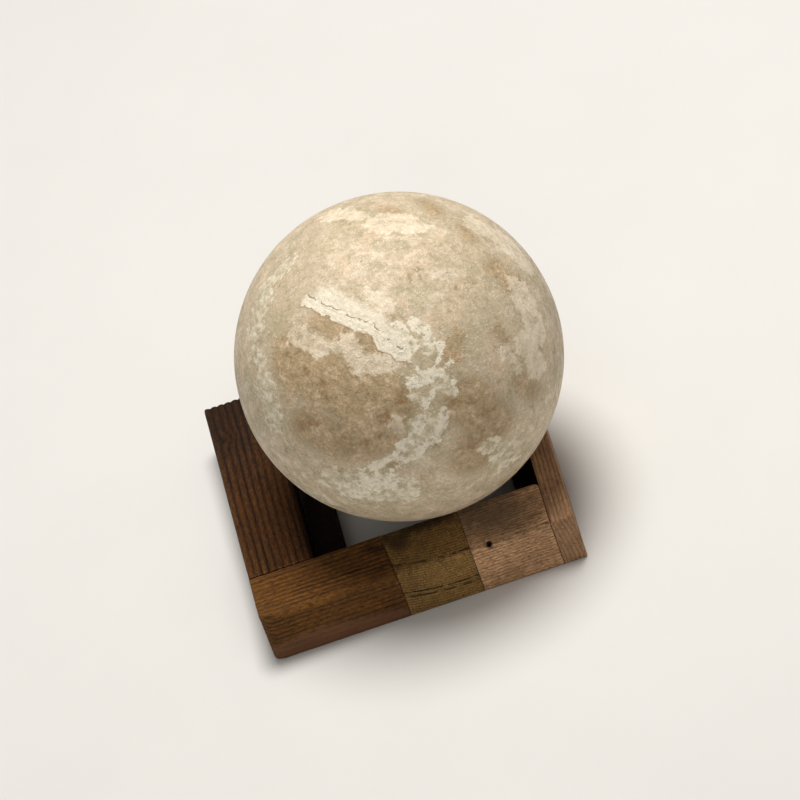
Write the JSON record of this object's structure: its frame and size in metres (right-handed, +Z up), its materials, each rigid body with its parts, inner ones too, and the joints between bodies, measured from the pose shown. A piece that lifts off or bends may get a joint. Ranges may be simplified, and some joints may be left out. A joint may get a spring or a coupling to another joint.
{
  "type": "decorative sphere",
  "caption": "Large honed stone ball resting on the inner edges of a low square frame stand of dark reclaimed softwood.",
  "frame": {"origin": "bottom centre of the whole object's box, on the surface that the stand rests on", "axes": "+Z up, +Y from the front rail towards the back rail, +X from the wide left rail towards the narrow right rail"},
  "size_m": [0.173, 0.154, 0.165],
  "materials": {
    "stone": "honed, unpolished",
    "front_timber": "brown-stained, worn and matt",
    "side_timber": "dark-stained, raised grain, matt",
    "planed_timber": "brown-stained, planed, satin"
  },
  "bodies": {
    "root": {"stone_ball": "stone", "front_block_left": "front_timber", "front_block_middle": "front_timber", "front_block_right": "front_timber", "left_rail": "side_timber", "right_rail": "planed_timber", "back_rail": "side_timber", "left_batten": "side_timber", "right_batten": "side_timber"}
  },
  "joints": []
}
